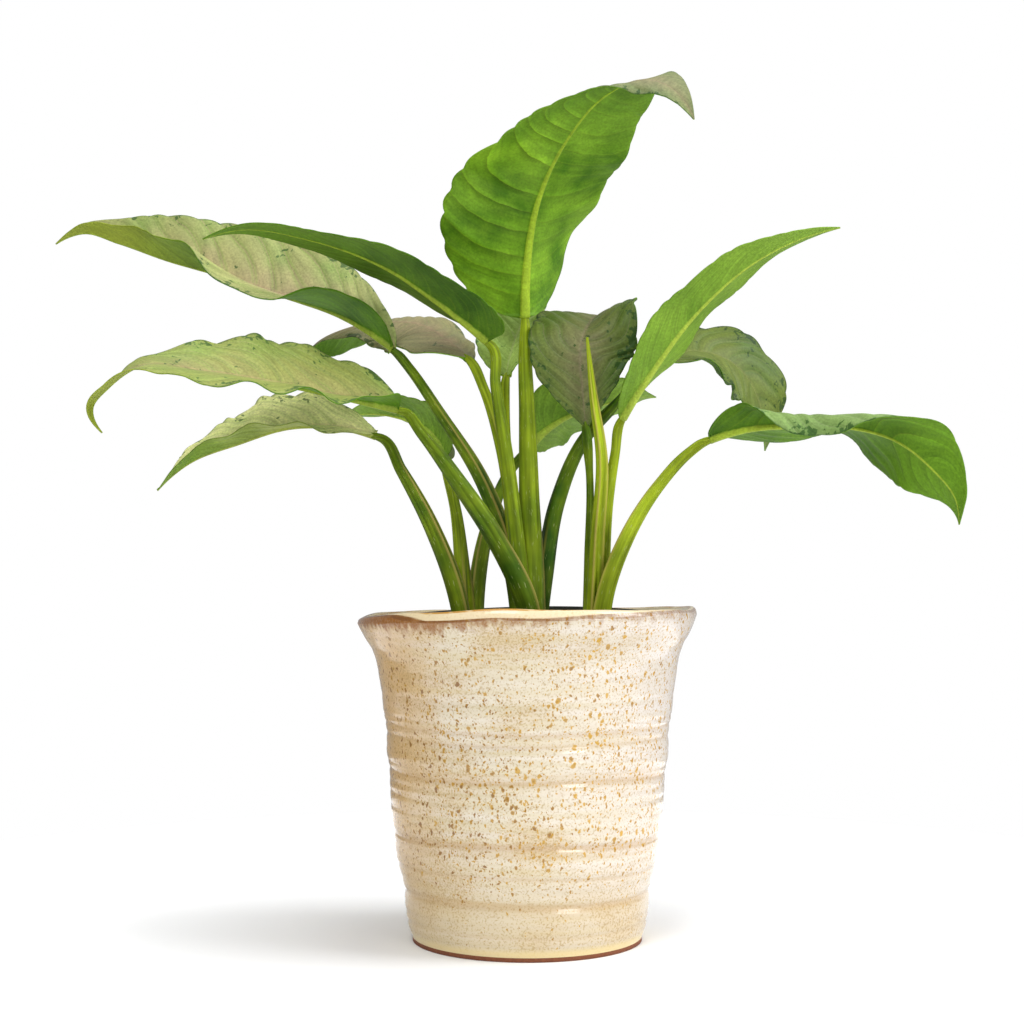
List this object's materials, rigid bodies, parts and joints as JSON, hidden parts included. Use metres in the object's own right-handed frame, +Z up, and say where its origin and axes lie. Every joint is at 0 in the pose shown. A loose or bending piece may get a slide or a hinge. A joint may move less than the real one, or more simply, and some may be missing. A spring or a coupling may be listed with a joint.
{
  "type": "potted chinese evergreen",
  "caption": "Leafy house plant in clumps with long arching blades, in a plastic grower's pot that stands in a flared, ribbed ceramic pot.",
  "frame": {"origin": "middle of the ceramic pot's flat foot, on the surface that it stands on", "axes": "+Z up along the pot's axis, +X to the right of the pictured view, -Y towards its viewer"},
  "size_m": [0.4378, 0.1639, 0.3988],
  "materials": {
    "glazed_ceramic": "glossy speckled cream glaze over a bare terracotta foot",
    "black_plastic": "matt black",
    "potting_soil": "crumbly dark brown",
    "petiole": "smooth, slightly waxy green",
    "leaf": "satin silvery green above, plain green beneath"
  },
  "bodies": {
    "root": {"pot": "glazed_ceramic", "nursery_pot": "black_plastic", "soil": "potting_soil", "shoot_left": "petiole", "shoot_centre": "petiole", "shoot_right": "petiole", "leaf_01": "leaf", "leaf_02": "leaf", "leaf_03": "leaf", "leaf_04": "leaf", "leaf_05": "leaf", "leaf_06": "leaf", "leaf_07": "leaf", "leaf_08": "leaf", "leaf_09": "leaf", "leaf_10": "leaf", "leaf_11": "leaf", "leaf_12": "leaf", "leaf_13": "leaf"}
  },
  "joints": []
}
